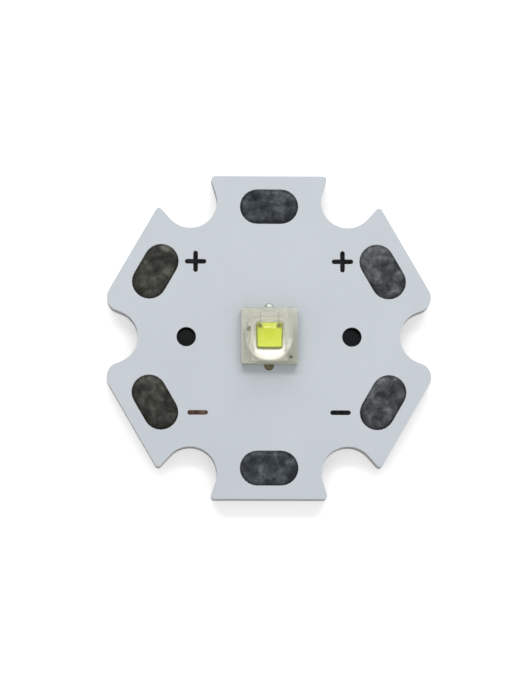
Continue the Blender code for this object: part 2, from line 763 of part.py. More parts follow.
def make_polarity_dot(led):
    """Dark dot under the film, at the cathode's right corner."""
    offset = PACKAGE_SIDE / 2 - POLARITY_DOT_INSET
    rings = [circle((0.0, 0.0), POLARITY_DOT_RADIUS, DOT_STEPS)]
    dot = prism("polarity_mark", [(0.0, rings), (TRACE_THICKNESS, rings)])
    place("polarity_mark", dot, material("polarity_mark", (110, 112, 96), 0.6), led,
          (offset, -offset, CERAMIC_TOP))


def main():
    """Builds the board, then the LED on it."""
    clear_scene()
    board = empty("board", 0.0)
    make_base(board)
    make_dielectric(board)
    make_copper(board)
    make_mask(board)
    make_pads(board)
    make_marks(board)
    make_solder_joints(board)

    led = empty("led", LED_SEAT)
    make_terminals(led)
    make_substrate(led)
    make_die(led)
    make_diode(led)
    make_wires(led)
    make_lens(led)
    make_polarity_dot(led)


main()
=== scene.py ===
"""Finish, light and camera for the star board with its domed LED.

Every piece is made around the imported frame, in the board's own coordinates.
Named sizes are in millimetres and are scaled to metres when a mesh is made.
"""

import math

import bmesh
import bpy
from mathutils import Matrix, Vector, noise


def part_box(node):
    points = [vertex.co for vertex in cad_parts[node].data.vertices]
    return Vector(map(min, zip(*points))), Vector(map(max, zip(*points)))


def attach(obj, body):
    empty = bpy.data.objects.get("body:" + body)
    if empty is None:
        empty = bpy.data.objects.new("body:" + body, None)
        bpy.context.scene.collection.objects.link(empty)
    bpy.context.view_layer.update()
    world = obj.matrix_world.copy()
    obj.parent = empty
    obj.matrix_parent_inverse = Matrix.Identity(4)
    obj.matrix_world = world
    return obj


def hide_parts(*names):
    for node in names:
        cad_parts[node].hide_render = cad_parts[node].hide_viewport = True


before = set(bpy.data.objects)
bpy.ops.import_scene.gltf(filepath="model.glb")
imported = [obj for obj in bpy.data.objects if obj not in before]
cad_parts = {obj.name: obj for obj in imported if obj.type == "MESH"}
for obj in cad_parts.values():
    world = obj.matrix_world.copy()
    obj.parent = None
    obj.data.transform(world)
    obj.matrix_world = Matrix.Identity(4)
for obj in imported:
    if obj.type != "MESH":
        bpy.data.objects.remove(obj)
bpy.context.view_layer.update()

MM = 0.001
BODY = "root"

# Meshes: how near points are joined, the angles of a flat and of a crease, and how level a flat face is
WELD_DISTANCE = 0.00002
FLAT_ANGLE = math.radians(0.5)
CREASE_ANGLE = math.radians(40.0)
LEVEL_NORMAL = 0.9999
BEVEL_SEGMENTS = 3
SHADING_WEIGHT = 100

# Edge rounding of the carried-over shapes
BASE_EDGE = 0.03
MASK_EDGE = 0.012
MARK_EDGE = 0.005
CERAMIC_EDGE = 0.015
TRACE_EDGE = 0.006
DIE_EDGE = 0.004

# Distances from the centre between which the walls stop being those of the two small holes, whose walls
# carry painted shade
HOLE_REACH = 6.0
HOLE_LIMIT = 6.3

# Meniscus of the solder pads, with its wave and its dull rim
PAD_RIM_DROP = 0.018
PAD_CROWN_REACH = 0.45
PAD_INSETS = (0.0, 0.02, 0.05, 0.1, 0.17, 0.26, 0.36, 0.47, 0.6, 0.75, 0.9)
PAD_END_STEPS = 24
PAD_WAVE = 0.004
PAD_RIM = 0.28
PAD_WAVE_SCALE = 1.6

# Solder lands, set back from the contacts, and their tabs that stand out beside the package
LAND_SETBACK = 0.02
LAND_RIM_DROP = 0.02
TAB_RADIUS = 0.28
TAB_INSETS = (0.0, 0.015, 0.04, 0.08, 0.13, 0.18, 0.22)
TAB_STEPS = 20

# Hump on a tab: its height, where it begins upwards and outwards, how fast it rises and falls
TAB_HEIGHT = 0.13
TAB_FOOT = 0.01
TAB_ROOT = 0.02
TAB_RISE = 12
TAB_FALL = 0.7

# Phosphor coat: how far it stands out at its foot and waist, its edges, its openings and thin places
COAT_EDGE = 0.035
COAT_EDGE_STEPS = 5
COAT_FOOT = 0.035
COAT_SWELL = 0.022
COAT_WAIST = 0.3
COAT_CORNER = 0.04
COAT_CORNER_STEPS = 5
BOND_OPENING = 0.12
THIN_SHIFT = 0.04
THIN_START = 0.05
THIN_END = 0.19

# Lens
LENS_STEPS = 96
LENS_RINGS = 32
LENS_FILLET = 0.12
LENS_FILLET_STEPS = 5
LENS_MARGIN = 0.195
FILM_THICKNESS = 0.1
FILM_EDGE = 0.012

# Bond wires, with a ball given as heights over the chip and widths in wire radii
WIRE_RADIUS = 0.015
WIRE_STEPS = 24
WIRE_ROUNDNESS = 4
WIRE_LANDING = 0.06
BALL_RADIUS = 0.035
BALL_PROFILE = ((0.0, 1.6), (0.004, 2.3), (0.014, 2.3), (0.02, 1.2))

# The photograph's frame, in pixels, and the place of the board's centre in it
IMAGE_SIZE = (516, 688)
BOARD_PIXEL = (269.1, 336.8)
PIXELS_PER_MM = 16.25

# Camera, with its clip distances in metres
SENSOR = 36.0
CAMERA_DISTANCE = 250.0
CAMERA_TILT = math.radians(6.5)
CAMERA_LEAN = math.radians(-1.5)
CLIP_START = 0.005
CLIP_END = 10.0

# Fill light: its level at the edge and middle of a lobe, that edge's cosine, and the lobe's lean forward
FILL_LOW = 0.04
FILL_HIGH = 0.95
FILL_START = 0.2
FILL_TILT = math.radians(25.0)

# Dark patch overhead, seen and mirrored but no part of the fill, with its edge as heights on a unit sphere
ZENITH_LEVEL = 0.082
ZENITH_START = 0.93
ZENITH_EDGE = 0.85

# Softboxes beyond the top pad: elevation, width, height, and level as a share of full white
LIGHT_DISTANCE = 300.0
SOFTBOXES = {
    "key": (math.radians(56.0), 290.0, 78.0, 0.37),
    "low": (math.radians(32.0), 420.0, 90.0, 0.2),
}

# Floor, as screen values: its own colour and a painted shadow, a dark one under the board's middle seen
# through the holes
FLOOR_COLOUR = (244, 244, 244)
FLOOR_PAINTED_SHADOW = (100, 103, 105)
FLOOR_RADIUS = 900.0
FLOOR_STEPS = 64
FLOOR_DROP = 0.002
FLOOR_ROUGHNESS = 0.9

# Light added to the floor for what the camera, mirrors and glass see, and where it begins
FLOOR_GLOW = 0.42
GLOW_START = 6.0
GLOW_FULL = 6.6

# Colours of the lacquer, as screen values
MASK_COLOUR = (199, 206, 212)
MASK_SHADE = (197, 204, 210)
MASK_LIGHT = (201, 208, 214)
MASK_SPECK = (193, 199, 203)

# Dark, light and rim colours of the pads' solder as screen values, and a gain for each pad that paints in
# reflection, highest on the bottom and right-hand pads
COOL_TIN = ((92, 99, 106), (122, 130, 136), (66, 71, 77))
WARM_TIN = ((94, 94, 88), (120, 119, 112), (70, 70, 66))
LIGHT_TIN = ((98, 103, 106), (130, 134, 136), (72, 75, 78))
PAD_TINS_AND_REFLECTION_GAINS = {
    "top_pad": (1.12, COOL_TIN),
    "bottom_pad": (1.38, COOL_TIN),
    "plus_pad_left": (1.22, WARM_TIN),
    "plus_pad_right": (1.35, LIGHT_TIN),
    "minus_pad_left": (1.21, WARM_TIN),
    "minus_pad_right": (1.42, LIGHT_TIN),
}
MARKS = ("plus_mark_left", "plus_mark_right", "minus_mark_left", "minus_mark_right")


def box(node):
    """Lowest and highest corner of a frame node, in millimetres."""
    low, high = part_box(node)
    return low / MM, high / MM


def arc(centre, radius, start, end, steps):
    """Points on an arc from one angle to another, both ends included."""
    points = []
    for k in range(steps + 1):
        angle = start + (end - start) * k / steps
        points.append((centre[0] + radius * math.cos(angle), centre[1] + radius * math.sin(angle)))
    return points


def circle(radius, steps):
    """A closed ring of points about the origin."""
    return arc((0.0, 0.0), radius, 0.0, 2 * math.pi, steps)[:-1]


def moved(ring, angle=0.0, centre=(0.0, 0.0)):
    """A ring turned about the origin, then shifted."""
    cosine, sine = math.cos(angle), math.sin(angle)
    return [(centre[0] + cosine * x - sine * y, centre[1] + sine * x + cosine * y) for x, y in ring]


def stadium(length, width, steps):
    """A bar with half-round ends, lying along X."""
    offset = (length - width) / 2
    right = arc((offset, 0.0), width / 2, -math.pi / 2, math.pi / 2, steps)
    left = arc((-offset, 0.0), width / 2, math.pi / 2, 3 * math.pi / 2, steps)
    return right + left


def keep_flats(mesh):
    """Shades the level faces of a mesh flat and the others smooth."""
    for polygon in mesh.polygons:
        polygon.use_smooth = abs(polygon.normal.z) < LEVEL_NORMAL


class Shell:
    """Gathers the flat faces and walls of one closed piece, in millimetres."""

    def __init__(self):
        self.bm = bmesh.new()

    def cap(self, rings, z):
        """A flat face at one height: the first ring, less the rings inside it."""
        edges = []
        for ring in rings:
            verts = [self.bm.verts.new((x, y, z)) for x, y in ring]
            for k in range(len(verts)):
                edges.append(self.bm.edges.new((verts[k - 1], verts[k])))
        bmesh.ops.triangle_fill(self.bm, edges=edges, use_beauty=True)

    def wall(self, lower, z0, z1, upper=None):
        """A band of faces from a ring at one height to the like ring at another."""
        low = [self.bm.verts.new((x, y, z0)) for x, y in lower]
        high = [self.bm.verts.new((x, y, z1)) for x, y in upper or lower]
        for k in range(len(low)):
            self.bm.faces.new((low[k - 1], low[k], high[k], high[k - 1]))

    def tip(self, ring, z, apex_z):
        """A fan of triangles from a ring to a point over the origin."""
        verts = [self.bm.verts.new((x, y, z)) for x, y in ring]
        apex = self.bm.verts.new((0.0, 0.0, apex_z))
        for k in range(len(verts)):
            self.bm.faces.new((verts[k - 1], verts[k], apex))

    def weld(self):
        """Joins faces that meet and turns them all outward."""
        bmesh.ops.remove_doubles(self.bm, verts=self.bm.verts, dist=WELD_DISTANCE)
        bmesh.ops.recalc_face_normals(self.bm, faces=self.bm.faces)

    def mesh(self, name):
        """The finished piece as a mesh in metres, shaded smooth but for its creases."""
        bmesh.ops.scale(self.bm, vec=(MM, MM, MM), verts=self.bm.verts)
        mesh = bpy.data.meshes.new(name)
        self.bm.to_mesh(mesh)
        self.bm.free()
        mesh.shade_smooth()
        mesh.set_sharp_from_angle(angle=CREASE_ANGLE)
        return mesh


def add_piece(name, data, look, slot, *nodes):
    """Puts a piece in the scene, on the board's body, in place of some frame nodes."""
    piece = bpy.data.objects.new(name, data)
    data.materials.clear()
    data.materials.append(look)
    bpy.context.scene.collection.objects.link(piece)
    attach(piece, BODY)
    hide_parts(*nodes)
    return piece


def finish_node(node, look):
    """Gives a frame node that stays its procedural material."""
    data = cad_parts[node].data
    data.materials.clear()
    data.materials.append(look)


def rounded(node, name, edge, look, slot):
    """A copy of a frame node with its sharp edges rounded and its flats kept flat, in the node's place."""
    shell = Shell()
    shell.bm.from_mesh(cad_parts[node].data)
    bmesh.ops.scale(shell.bm, vec=(1 / MM, 1 / MM, 1 / MM), verts=shell.bm.verts)
    shell.weld()
    bmesh.ops.dissolve_limit(shell.bm, angle_limit=FLAT_ANGLE, verts=shell.bm.verts, edges=shell.bm.edges)
    sharp = [line for line in shell.bm.edges if line.is_manifold and line.calc_face_angle() > CREASE_ANGLE]
    bmesh.ops.bevel(shell.bm, geom=sharp, offset=edge, offset_type="OFFSET", segments=BEVEL_SEGMENTS,
                    profile=0.5, affect="EDGES", clamp_overlap=True, miter_outer="ARC")
    bmesh.ops.triangulate(shell.bm, faces=[face for face in shell.bm.faces if len(face.verts) > 4])
    mesh = shell.mesh(name)
    keep_flats(mesh)
    piece = add_piece(name, mesh, look, slot, node)
    weighted = piece.modifiers.new("flat_shading", "WEIGHTED_NORMAL")
    weighted.weight = SHADING_WEIGHT
    weighted.keep_sharp = True


def linear(red, green, blue):
    """A colour given as 0 to 255 screen values, as the shader's linear values."""
    channels = []
    for value in (red, green, blue):
        share = value / 255
        channels.append(share / 12.92 if share <= 0.04045 else ((share + 0.055) / 1.055) ** 2.4)
    return (*channels, 1.0)


class Wiring:
    """Short forms for the nodes of one material or world."""

    def __init__(self, tree):
        self.nodes = tree.nodes
        self.links = tree.links

    def math(self, operation, first, second):
        """Two levels, or a level and a number, through a math node."""
        node = self.nodes.new("ShaderNodeMath")
        node.operation = operation
        for k, value in enumerate((first, second)):
            if isinstance(value, (int, float)):
                node.inputs[k].default_value = value
            else:
                self.links.new(value, node.inputs[k])
        return node.outputs["Value"]

    def spread(self, level, low, high, start=0.3, end=0.7):
        """A level between start and end, spread over another range."""
        node = self.nodes.new("ShaderNodeMapRange")
        sockets = {"From Min": start, "From Max": end, "To Min": low, "To Max": high}
        for socket, value in sockets.items():
            node.inputs[socket].default_value = value
        self.links.new(level, node.inputs["Value"])
        return node.outputs["Result"]

    def tint(self, factor, first, second):
        """A mix of two colours, each a triple of screen values or a socket."""
        node = self.nodes.new("ShaderNodeMix")
        node.data_type = "RGBA"
        self.links.new(factor, node.inputs[0])
        for socket, value in ((node.inputs[6], first), (node.inputs[7], second)):
            if isinstance(value, tuple):
                socket.default_value = linear(*value)
            else:
                self.links.new(value, socket)
        return node.outputs[2]

    def length(self, vector):
        """The length of a vector."""
        node = self.nodes.new("ShaderNodeVectorMath")
        node.operation = "LENGTH"
        self.links.new(vector, node.inputs[0])
        return node.outputs["Value"]

    def part(self, vector, axis):
        """One axis of a vector."""
        node = self.nodes.new("ShaderNodeSeparateXYZ")
        self.links.new(vector, node.inputs["Vector"])
        return node.outputs[axis]

    def seen(self):
        """1 for what the camera sees, also in a mirror or through glass, and 0 for light on a surface."""
        path = self.nodes.new("ShaderNodeLightPath")
        direct = self.math("LESS_THAN", path.outputs["Diffuse Depth"], 0.5)
        mirrored = self.math("MAXIMUM", path.outputs["Is Glossy Ray"], path.outputs["Is Transmission Ray"])
        return self.math("MULTIPLY", self.math("MAXIMUM", mirrored, path.outputs["Is Camera Ray"]), direct)


class Look(Wiring):
    """A procedural Principled material whose patterns are laid out in millimetres."""

    def __init__(self, name, colour, roughness, metallic=0.0):
        self.material = bpy.data.materials.new(name)
        self.material.use_nodes = True
        super().__init__(self.material.node_tree)
        self.shader = self.nodes["Principled BSDF"]
        self.set("Base Color", linear(*colour))
        self.set("Roughness", roughness)
        self.set("Metallic", metallic)
        self.material.diffuse_color = linear(*colour)
        spot = self.nodes.new("ShaderNodeTexCoord")
        scale = self.nodes.new("ShaderNodeMapping")
        scale.inputs["Scale"].default_value = (1 / MM, 1 / MM, 1 / MM)
        self.links.new(spot.outputs["Object"], scale.inputs["Vector"])
        self.spot = scale.outputs["Vector"]

    def set(self, socket, value):
        """Sets one of the shader's own sockets."""
        self.shader.inputs[socket].default_value = value

    def noise(self, scale, detail=2.0, roughness=0.5, distortion=0.0, stretch=(1.0, 1.0, 1.0)):
        """Noise with so many features a millimetre, stretched along the axes."""
        squeeze = self.nodes.new("ShaderNodeMapping")
        squeeze.inputs["Scale"].default_value = [1 / share for share in stretch]
        self.links.new(self.spot, squeeze.inputs["Vector"])
        texture = self.nodes.new("ShaderNodeTexNoise")
        texture.inputs["Scale"].default_value = scale
        texture.inputs["Detail"].default_value = detail
        texture.inputs["Roughness"].default_value = roughness
        texture.inputs["Distortion"].default_value = distortion
        self.links.new(squeeze.outputs["Vector"], texture.inputs["Vector"])
        return texture.outputs["Fac"]

    def cells(self, scale):
        """A random level for each grain, with so many grains a millimetre."""
        texture = self.nodes.new("ShaderNodeTexVoronoi")
        texture.inputs["Scale"].default_value = scale
        self.links.new(self.spot, texture.inputs["Vector"])
        split = self.nodes.new("ShaderNodeSeparateColor")
        self.links.new(texture.outputs["Color"], split.inputs["Color"])
        return split.outputs["Red"]

    def colour(self, source):
        """Feeds the shader's colour."""
        self.links.new(source, self.shader.inputs["Base Color"])

    def roughness(self, level, low, high):
        """Feeds the shader's roughness from a level."""
        self.links.new(self.spread(level, low, high), self.shader.inputs["Roughness"])

    def bump(self, height, depth, strength=1.0):
        """Raises the surface by a height pattern of so many millimetres."""
        node = self.nodes.new("ShaderNodeBump")
        node.inputs["Strength"].default_value = strength
        node.inputs["Distance"].default_value = depth * MM
        self.links.new(height, node.inputs["Height"])
        self.links.new(node.outputs["Normal"], self.shader.inputs["Normal"])

    def upright(self):
        """How far a face turns from level, from 0 on top to 1 on a wall."""
        geometry = self.nodes.new("ShaderNodeNewGeometry")
        level = self.math("ABSOLUTE", self.part(geometry.outputs["Normal"], "Z"), 0.0)
        return self.spread(level, 1.0, 0.0, 0.2, 0.8)

    def place(self, axis):
        """Position along one axis, in millimetres."""
        return self.part(self.spot, axis)

    def attribute(self, name):
        """A level stored on the mesh's vertices."""
        node = self.nodes.new("ShaderNodeAttribute")
        node.attribute_name = name
        return node.outputs["Fac"]


def aluminium_look():
    """Rolled sheet on the flats, walls burnished above and torn below by the punch, and painted shade
    darkening the walls of the two small holes.
    """
    look = Look("aluminium", (158, 160, 163), 0.38, metallic=1.0)
    rolled = look.noise(5.0, 3.0, stretch=(14.0, 1.0, 1.0))
    sheared = look.noise(9.0, 3.0, stretch=(1.0, 1.0, 7.0))
    blotch = look.noise(0.5, 3.0)
    wall = look.upright()
    flat_colour = look.tint(look.spread(rolled, 0.0, 1.0), (146, 148, 152), (176, 177, 179))
    burnished = look.tint(look.spread(sheared, 0.0, 1.0), (126, 126, 130), (146, 146, 149))
    ragged = look.noise(13.0, 4.0, roughness=0.7)
    torn = look.tint(look.spread(ragged, 0.0, 1.0), (94, 93, 97), (142, 141, 145))
    depth = look.math("SUBTRACT", look.place("Z"), look.math("MULTIPLY", sheared, 0.9))
    tear = look.spread(depth, 1.0, 0.0, 0.28, 0.5)
    wall_colour = look.tint(tear, burnished, torn)
    both = look.tint(wall, flat_colour, wall_colour)
    both = look.tint(look.spread(blotch, 0.0, 0.25), both, (120, 120, 122))
    # Painted shade: the walls of the two small holes are painted near-black, standing in for the shade
    # inside a narrow bore
    near = look.spread(look.length(look.spot), 1.0, 0.0, HOLE_REACH, HOLE_LIMIT)
    look.colour(look.tint(look.math("MULTIPLY", near, wall), both, (52, 52, 54)))
    streaks = look.math("ADD", look.math("MULTIPLY", rolled, 0.6), sheared)
    look.roughness(streaks, 0.3, 0.48)
    look.bump(streaks, 0.012, 0.5)
    return look.material


def dielectric_look():
    """Filled resin seen as a thin line round the edge."""
    look = Look("dielectric", (196, 190, 170), 0.6)
    grain = look.noise(9.0, 3.0)
    look.colour(look.tint(look.spread(grain, 0.0, 1.0), (184, 178, 158), (208, 203, 186)))
    look.bump(grain, 0.006, 0.4)
    return look.material


def copper_look():
    """Etched copper under the lacquer, seen in hairlines round the pads."""
    look = Look("copper", (118, 84, 66), 0.4, metallic=1.0)
    stain = look.noise(3.0, 3.0)
    look.colour(look.tint(look.spread(stain, 0.0, 1.0), (92, 66, 54), (138, 98, 74)))
    look.roughness(stain, 0.28, 0.5)
    look.bump(look.noise(20.0, 2.0), 0.002, 0.4)
    return look.material


def mask_look():
    """White lacquer with a faint cool cast, orange peel and fine dust."""
    look = Look("solder_mask", MASK_COLOUR, 0.42)
    cloud = look.noise(0.22, 3.0)
    fine = look.noise(7.0, 3.0)
    wash = look.tint(look.spread(cloud, 0.0, 1.0), MASK_SHADE, MASK_LIGHT)
    look.colour(look.tint(look.spread(fine, 0.0, 0.22, 0.45, 0.8), wash, MASK_SPECK))
    look.roughness(look.noise(2.5, 3.0), 0.36, 0.5)
    look.bump(look.noise(3.5, 4.0, roughness=0.6), 0.01, 0.35)
    return look.material


def tin_look(name, dark, light, rim, grain=1.6):
    """Hot-levelled solder: cloudy, with faint crystals, and dull towards its rim."""
    look = Look(name, light, 0.3, metallic=1.0)
    cloud = look.noise(grain, 4.0, roughness=0.6, distortion=0.3)
    crystals = look.cells(grain * 5.0)
    mottle = look.math("ADD", look.math("MULTIPLY", crystals, 0.12), cloud)
    body = look.tint(look.spread(mottle, 0.0, 1.0, 0.4, 0.74), dark, light)
    spots = look.noise(grain * 3.5, 3.0)
    body = look.tint(look.spread(spots, 0.0, 0.5, 0.6, 0.74), body, rim)
    look.colour(look.tint(look.spread(look.attribute("rim"), 0.0, 0.85, 0.2, 1.0), body, rim))
    look.roughness(cloud, 0.18, 0.3)
    look.bump(look.noise(grain * 2.0, 3.0, roughness=0.5), 0.008, 0.5)
    return look.material


def solder_look(name, dark, light, metallic):
    """Reflowed solder, dimpled, with flux stains."""
    look = Look(name, light, 0.5, metallic=metallic)
    dimple = look.noise(7.0, 3.0, distortion=0.8)
    stain = look.noise(3.2, 2.0)
    body = look.tint(look.spread(dimple, 0.0, 1.0), dark, light)
    look.colour(look.tint(look.spread(stain, 0.0, 0.8, 0.5, 0.62), body, dark))
    look.roughness(dimple, 0.45, 0.6)
    look.bump(dimple, 0.02, 0.5)
    return look.material


def ceramic_look():
    """Sawn alumina: warm off-white with fine grain and saw lines on its sides, painted shade on its sides,
    and a painted shadow darkening it towards the lower right.
    """
    look = Look("ceramic", (243, 244, 234), 0.55)
    grain = look.noise(16.0, 4.0)
    cloud = look.noise(1.4, 2.0)
    saw = look.noise(22.0, 2.0, stretch=(1.0, 1.0, 0.12))
    body = look.tint(look.spread(cloud, 0.0, 1.0), (241, 242, 231), (247, 248, 240))
    body = look.tint(look.spread(grain, 0.0, 0.3, 0.5, 0.8), body, (226, 226, 213))
    # Painted shadow: the tile darkens towards its lower right corner, as if shaded by the dome
    corner = look.math("SUBTRACT", look.place("Y"), look.math("MULTIPLY", look.place("X"), 0.35))
    body = look.tint(look.spread(corner, 0.0, 1.0, 0.4, -2.0), body, (208, 212, 196))
    # Painted shade: the sawn sides are painted darker than the top, with saw lines in them
    side = look.tint(look.spread(saw, 0.0, 1.0), (172, 170, 152), (198, 196, 178))
    look.colour(look.tint(look.upright(), body, side))
    look.bump(look.math("ADD", grain, saw), 0.004, 0.5)
    return look.material


def terminal_look():
    """Plated metal on the ceramic, satin and pale."""
    look = Look("terminal_metal", (240, 239, 228), 0.45, metallic=0.55)
    plate = look.noise(9.0, 3.0)
    look.colour(look.tint(look.spread(plate, 0.0, 1.0), (232, 231, 218), (246, 245, 236)))
    look.roughness(plate, 0.4, 0.52)
    look.bump(look.noise(30.0, 2.0), 0.002, 0.4)
    return look.material


def die_look():
    """Dark semiconductor with bright bond pads."""
    look = Look("die", (158, 156, 62), 0.4)
    sheen = look.noise(6.0, 2.0)
    look.colour(look.tint(look.spread(sheen, 0.0, 1.0), (146, 144, 54), (170, 168, 72)))
    look.bump(look.noise(30.0, 2.0), 0.001, 0.3)
    return look.material


def phosphor_look(pad_x, pad_y):
    """Yellow-green powder coat, with painted shade down its walls, and thin round the two bond pads."""
    look = Look("phosphor", (233, 246, 52), 0.42)
    look.set("Specular IOR Level", 0.8)
    powder = look.noise(26.0, 4.0, roughness=0.6)
    cloud = look.noise(3.0, 2.0)
    body = look.tint(look.spread(cloud, 0.0, 1.0), (236, 249, 50), (242, 252, 60))
    body = look.tint(look.spread(powder, 0.0, 0.35), body, (222, 236, 48))
    across = look.math("SUBTRACT", look.math("ABSOLUTE", look.place("X"), 0.0), pad_x + THIN_SHIFT)
    along = look.math("SUBTRACT", look.place("Y"), pad_y + THIN_SHIFT)
    reach = look.math("MAXIMUM", look.math("ABSOLUTE", across, 0.0), look.math("ABSOLUTE", along, 0.0))
    body = look.tint(look.spread(reach, 0.95, 0.0, THIN_START, THIN_END), body, (160, 158, 56))
    # Painted shade: the coat's steep walls are painted a darker olive than its top
    look.colour(look.tint(look.upright(), body, (168, 180, 60)))
    look.bump(powder, 0.006, 0.5)
    return look.material


def gold_look():
    """Drawn gold wire."""
    look = Look("gold", (198, 186, 136), 0.5, metallic=0.5)
    draw = look.noise(40.0, 2.0)
    look.colour(look.tint(look.spread(draw, 0.0, 1.0), (186, 174, 122), (208, 198, 152)))
    look.bump(draw, 0.001, 0.3)
    return look.material


def diode_look():
    """Small dark chip."""
    look = Look("diode", (150, 153, 130), 0.35)
    grain = look.noise(18.0, 3.0)
    look.colour(look.tint(look.spread(grain, 0.0, 1.0), (138, 141, 118), (162, 165, 142)))
    look.bump(grain, 0.002, 0.4)
    return look.material


def dot_look():
    """Printed dark dot."""
    look = Look("polarity_mark", (104, 108, 92), 0.6)
    ink = look.noise(14.0, 3.0)
    look.colour(look.tint(look.spread(ink, 0.0, 1.0), (104, 108, 90), (138, 142, 122)))
    look.bump(ink, 0.003, 0.4)
    return look.material


def silicone_look():
    """Clear silicone, faintly warm, with the softest waviness."""
    look = Look("silicone", (252, 252, 248), 0.08)
    look.set("Transmission Weight", 1.0)
    look.set("IOR", 1.41)
    wave = look.noise(1.2, 2.0)
    look.roughness(wave, 0.06, 0.1)
    look.bump(look.noise(2.2, 2.0), 0.002, 0.3)
    return look.material


def pad_height(inset, crown):
    """Height of a pad's surface at a distance in from its edge."""
    rim = crown - PAD_RIM_DROP
    share = min(inset / PAD_CROWN_REACH, 1.0)
    return rim + (crown - rim) * (1 - (1 - share) ** 2)


def make_pads():
    """Six solder pads, each a shallow pool of solder with a low rim."""
    low, high = box("top_pad")
    length, width = high.x - low.x, high.y - low.y
    for name, (painted_reflection_gain, shades) in PAD_TINS_AND_REFLECTION_GAINS.items():
        low, high = box(name)
        centre = ((low.x + high.x) / 2, (low.y + high.y) / 2)
        angle = math.atan2(centre[1], centre[0]) - math.pi / 2
        rings = [moved(stadium(length - 2 * inset, width - 2 * inset, PAD_END_STEPS), angle, centre)
                 for inset in PAD_INSETS]
        levels = [pad_height(inset, high.z) for inset in PAD_INSETS]
        shell = Shell()
        shell.cap([rings[0]], low.z)
        shell.wall(rings[0], low.z, levels[0])
        for k in range(len(rings) - 1):
            shell.wall(rings[k], levels[k], levels[k + 1], rings[k + 1])
        shell.cap([rings[-1]], levels[-1])
        shell.weld()
        for vert in shell.bm.verts:
            if vert.co.z > levels[0] + PAD_WAVE:
                wave = noise.noise(Vector((vert.co.x, vert.co.y, 0.0)) * PAD_WAVE_SCALE)
                vert.co.z -= PAD_WAVE * (0.5 + 0.5 * wave)
        mesh = shell.mesh(name + "_solder")
        rim = mesh.attributes.new("rim", "FLOAT", "POINT")
        offset = (length - width) / 2
        for vert, level in zip(mesh.vertices, rim.data):
            along, across = moved([(vert.co.x / MM - centre[0], vert.co.y / MM - centre[1])], -angle)[0]
            beyond = math.hypot(max(abs(along) - offset, 0.0), across)
            level.value = max(0.0, 1 - (width / 2 - beyond) / PAD_RIM)
        # Painted reflection: each pad's colours are scaled by its gain to stand in for how brightly that
        # pad mirrors its surroundings
        look = tin_look(name + "_tin", *(tuple(painted_reflection_gain * value for value in shade) for shade in shades))
        add_piece(name + "_solder", mesh, look, "pad_tin", name)


def make_marks():
    """Tin in the polarity marks; the left minus is thin enough to show copper."""
    dark = tin_look("mark_tin_dark", (54, 58, 62), (77, 81, 84), (42, 45, 48), grain=5.0)
    bare = tin_look("mark_copper", (132, 112, 102), (214, 178, 156), (92, 82, 78), grain=2.2)
    for name in MARKS:
        look = bare if name == "minus_mark_left" else dark
        rounded(name, name + "_tin", MARK_EDGE, look, "mark_tin")


def land_ring(half, inner, outer, tab_centre, inset):
    """A solder land with a half-round tab on its outer side, drawn for the upper side."""
    x, y = half - inset, outer - inset
    tab = TAB_RADIUS - inset
    ring = [(-x, inner + inset), (x, inner + inset), (x, y), (tab, y)]
    return ring + arc((0.0, tab_centre), tab, 0.0, math.pi, TAB_STEPS) + [(-tab, y), (-x, y)]


def make_joints():
    """Solder under the package, with a small fillet at the middle of two sides."""
    low, high = box("anode_solder")
    contact = box("anode_terminal")[1]
    half, outer = contact.x - LAND_SETBACK, contact.y - LAND_SETBACK
    side = box("ceramic_substrate")[1].y
    tab_centre = high.y - TAB_RADIUS
    rim = high.z - LAND_RIM_DROP
    # Painted highlight: the upper joint, towards the key light, is painted pale; painted shade: the lower
    # joint is painted dark, partly flux stain and partly the package's shadow
    bright = solder_look("solder_painted_highlight", (160, 170, 158), (218, 227, 221), 0.35)
    stained_and_shaded = solder_look("solder_stained_painted_shade", (84, 80, 58), (140, 134, 104), 1.0)
    for name, sign, look in (("anode_solder", 1, bright), ("cathode_solder", -1, stained_and_shaded)):
        rings = [land_ring(half, low.y, outer, tab_centre, inset) for inset in TAB_INSETS]
        levels = [rim + LAND_RIM_DROP * min(inset / TAB_INSETS[2], 1.0) for inset in TAB_INSETS]
        shell = Shell()
        shell.cap([rings[0]], low.z)
        shell.wall(rings[0], low.z, rim)
        for k in range(len(rings) - 1):
            shell.wall(rings[k], levels[k], levels[k + 1], rings[k + 1])
        shell.cap([rings[-1]], high.z)
        shell.weld()
        reach = tab_centre + TAB_RADIUS - side
        for vert in shell.bm.verts:
            beyond = (vert.co.y - side) / reach
            if vert.co.z > low.z + TAB_FOOT and beyond > TAB_ROOT:
                across = abs(vert.co.x) / TAB_RADIUS
                hump = max(0.0, 1 - beyond) ** TAB_FALL * max(0.0, 1 - across ** 2)
                vert.co.z += TAB_HEIGHT * hump * min(1.0, beyond * TAB_RISE)
            vert.co.y *= sign
        if sign < 0:
            bmesh.ops.recalc_face_normals(shell.bm, faces=shell.bm.faces)
        add_piece(name + "_fillet", shell.mesh(name + "_fillet"), look, "solder", name)
    finish_node("thermal_solder", bright)


